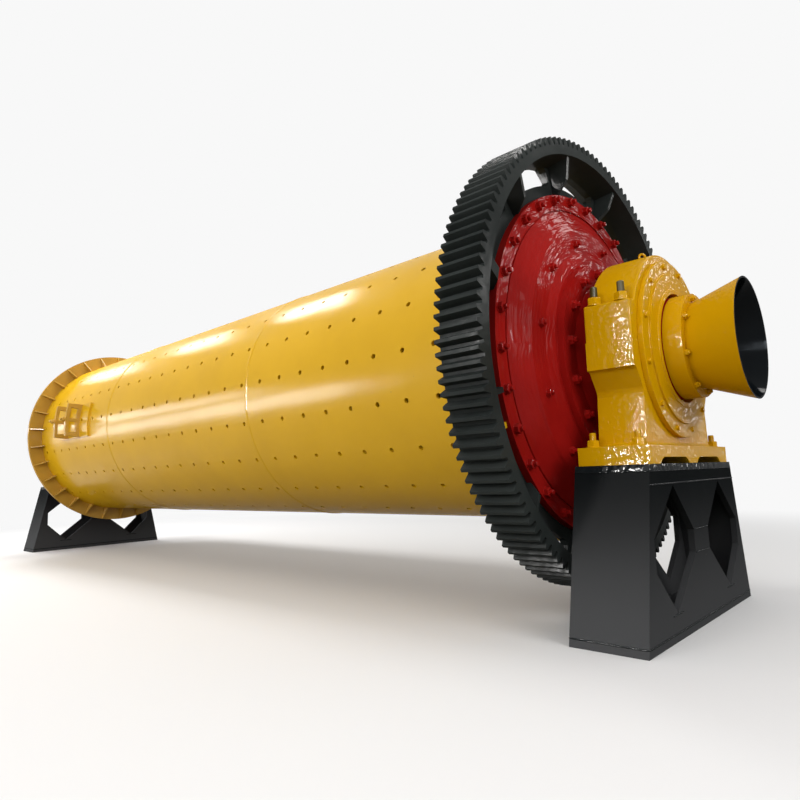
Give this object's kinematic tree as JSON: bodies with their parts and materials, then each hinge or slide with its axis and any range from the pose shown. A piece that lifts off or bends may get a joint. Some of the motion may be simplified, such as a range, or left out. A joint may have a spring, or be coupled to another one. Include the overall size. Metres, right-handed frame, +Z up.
{
  "type": "ball mill",
  "caption": "Horizontal ball mill: cylindrical plate drum with dished heads, girth gear, hollow trunnions and trumpets, turning in bearing housings on plate pedestals.",
  "frame": {"origin": "on the floor under the drum axis, midway between the two bearings", "axes": "+X along the drum axis to the discharge end with the girth gear, +Z up"},
  "size_m": [9.402, 2.7996, 2.9448],
  "materials": {
    "shell_yellow": "gloss mustard yellow enamel",
    "bearing_yellow": "thick gloss mustard yellow enamel on cast iron",
    "head_red": "thick gloss red enamel on cast steel",
    "gear_black": "satin black paint with worn tooth edges",
    "pedestal_black": "satin black paint on welded plate"
  },
  "bodies": {
    "pedestals": {"feed_bearing_base": "bearing_yellow", "discharge_bearing_base": "bearing_yellow", "feed_bearing_cap": "bearing_yellow", "discharge_bearing_cap": "bearing_yellow", "feed_bearing_cover": "bearing_yellow", "discharge_bearing_cover": "bearing_yellow", "feed_seal_ring": "bearing_yellow", "discharge_seal_ring": "bearing_yellow", "feed_sole_plate": "pedestal_black", "discharge_sole_plate": "pedestal_black", "feed_pedestal_top_plate": "pedestal_black", "discharge_pedestal_top_plate": "pedestal_black", "feed_pedestal_outer_plate": "pedestal_black", "discharge_pedestal_outer_plate": "pedestal_black", "feed_pedestal_inner_plate": "pedestal_black", "discharge_pedestal_inner_plate": "pedestal_black", "feed_pedestal_side_plates": "pedestal_black", "discharge_pedestal_side_plates": "pedestal_black", "feed_pedestal_base_plate": "pedestal_black", "discharge_pedestal_base_plate": "pedestal_black"},
    "drum": {"shell_feed_course": "shell_yellow", "shell_middle_course": "shell_yellow", "shell_discharge_course": "shell_yellow", "feed_shell_flange": "shell_yellow", "discharge_shell_flange": "shell_yellow", "feed_head": "head_red", "discharge_head": "head_red", "feed_trunnion": "head_red", "discharge_trunnion": "head_red", "feed_collar": "shell_yellow", "discharge_collar": "shell_yellow", "feed_trumpet": "shell_yellow", "discharge_trumpet": "shell_yellow", "girth_gear_upper_half": "gear_black", "girth_gear_lower_half": "gear_black", "manhole_cover": "shell_yellow", "manhole_yokes": "shell_yellow"}
  },
  "joints": [
    {"name": "mill_spin", "type": "hinge", "parent": "pedestals", "child": "drum", "pos_m": [0, 0, 1.545], "axis": [1, 0, 0], "continuous": true}
  ]
}
